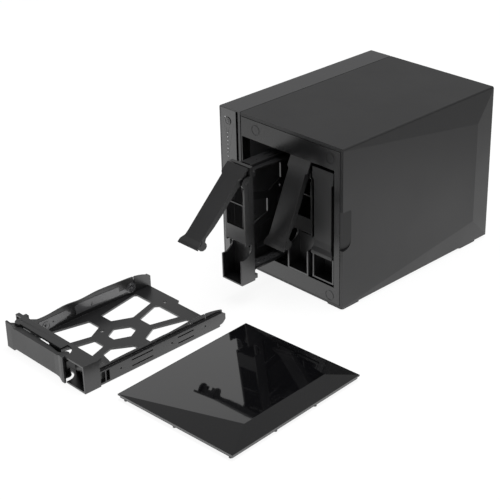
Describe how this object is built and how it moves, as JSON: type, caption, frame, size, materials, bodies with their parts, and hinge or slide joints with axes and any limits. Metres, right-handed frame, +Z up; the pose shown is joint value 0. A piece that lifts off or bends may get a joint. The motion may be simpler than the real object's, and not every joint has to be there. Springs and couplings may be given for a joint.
{
  "type": "network attached storage",
  "caption": "Desktop network storage box with sliding drive trays, swinging latch levers, a rear fan, and a loose glossy front cover and drive tray on the table.",
  "frame": {"origin": "centre of the case's footprint at table level", "axes": "+X to the case's right side, +Y to its back, +Z up; the bays open towards -Y"},
  "size_m": [0.2801, 0.4804, 0.1655],
  "materials": {
    "shell": "fine satin texture",
    "side_shell": "fine satin texture",
    "bezel": "satin",
    "column": "polished",
    "light_window": "frosted",
    "cover_gloss": "polished",
    "cover_back": "satin",
    "magnet": "bright",
    "cage": "satin",
    "guides": "matte",
    "board": "lacquered circuit board",
    "connector": "matte",
    "sink": "anodised",
    "rear": "powder coated",
    "port": "nickel plated",
    "inlet": "matte",
    "fan": "matte",
    "guard": "painted wire",
    "screw": "black zinc plated",
    "foot": "matte",
    "reset": "matte",
    "tray": "satin",
    "lever": "satin",
    "clip": "matte",
    "steel": "bright"
  },
  "bodies": {
    "case": {"backplane": "board", "bay_guides": "guides", "bezel_magnets": "magnet", "control_column": "column", "drive_cage": "cage", "drive_connectors": "connector", "fan_frame": "fan", "fan_guard": "guard", "fan_screws": "screw", "feet": "foot", "front_bezel": "bezel", "front_usb_port": "port", "heat_sink": "sink", "left_shell": "side_shell", "main_board": "board", "main_shell": "shell", "memory_module": "board", "network_ports": "port", "power_inlet": "inlet", "power_light_window": "light_window", "rear_panel": "rear", "rear_screws": "screw", "rear_usb_ports": "port", "status_light_pipe": "light_window", "video_port": "port"},
    "power_button": {"power_button": "column"},
    "copy_button": {"copy_button": "column"},
    "reset_button": {"reset_button": "reset"},
    "fan_rotor": {"fan_rotor": "fan"},
    "cover": {"cover_panel": "cover_gloss", "cover_back_frame": "cover_back", "cover_magnets": "magnet"},
    "tray_1": {"tray_1_frame": "tray", "tray_1_clips": "clip", "tray_1_pin": "steel", "tray_1_spring": "steel"},
    "lever_1": {"tray_1_lever": "lever"},
    "tray_2": {"tray_2_frame": "tray", "tray_2_clips": "clip", "tray_2_pin": "steel", "tray_2_spring": "steel"},
    "lever_2": {"tray_2_lever": "lever"},
    "tray_3": {"tray_3_frame": "tray", "tray_3_clips": "clip", "tray_3_pin": "steel", "tray_3_spring": "steel"},
    "lever_3": {"tray_3_lever": "lever"},
    "tray_4": {"tray_4_frame": "tray", "tray_4_clips": "clip", "tray_4_pin": "steel", "tray_4_spring": "steel"},
    "lever_4": {"tray_4_lever": "lever"}
  },
  "joints": [
    {"name": "power_button_press", "type": "slide", "parent": "case", "child": "power_button", "axis": [0, 1, 0], "range_m": [0, 0.0012]},
    {"name": "copy_button_press", "type": "slide", "parent": "case", "child": "copy_button", "axis": [0, 1, 0], "range_m": [0, 0.0012]},
    {"name": "reset_button_press", "type": "slide", "parent": "case", "child": "reset_button", "axis": [0, -1, 0], "range_m": [0, 0.001]},
    {"name": "fan_spin", "type": "hinge", "parent": "case", "child": "fan_rotor", "pos_m": [0.0101, 0.093, 0.0837], "axis": [0, 1, 0], "continuous": true},
    {"name": "tray_1_slide", "type": "slide", "parent": "case", "child": "tray_1", "axis": [0, -1, 0], "range_m": [0, 0.1]},
    {"name": "tray_2_slide", "type": "slide", "parent": "case", "child": "tray_2", "axis": [0, -1, 0], "range_m": [-0.0612, 0.1]},
    {"name": "tray_3_slide", "type": "slide", "parent": "case", "child": "tray_3", "axis": [0, -1, 0], "range_m": [-0.003, 0.157]},
    {"name": "tray_4_slide", "type": "slide", "parent": "case", "child": "tray_4", "axis": [0, -1, 0], "range_m": [0, 0.16]},
    {"name": "lever_1_swing", "type": "hinge", "parent": "tray_1", "child": "lever_1", "pos_m": [-0.0818, -0.3594, 0.0137], "axis": [0, 0, -1], "range_deg": [0, 48]},
    {"name": "lever_2_swing", "type": "hinge", "parent": "tray_2", "child": "lever_2", "pos_m": [-0.0051, -0.1599, 0.1261], "axis": [-1, 0, 0], "range_deg": [-46, 2]},
    {"name": "lever_3_swing", "type": "hinge", "parent": "tray_3", "child": "lever_3", "pos_m": [0.0253, -0.1017, 0.1261], "axis": [-1, 0, 0], "range_deg": [-24, 24]},
    {"name": "lever_4_swing", "type": "hinge", "parent": "tray_4", "child": "lever_4", "pos_m": [0.0557, -0.0987, 0.1261], "axis": [-1, 0, 0], "range_deg": [0, 48]},
    {"name": "cover_tilt", "type": "hinge", "parent": "case", "child": "cover", "pos_m": [0.11581, -0.35013, 0], "axis": [0.9986, 0.0523, 0], "range_deg": [0, 90]}
  ]
}
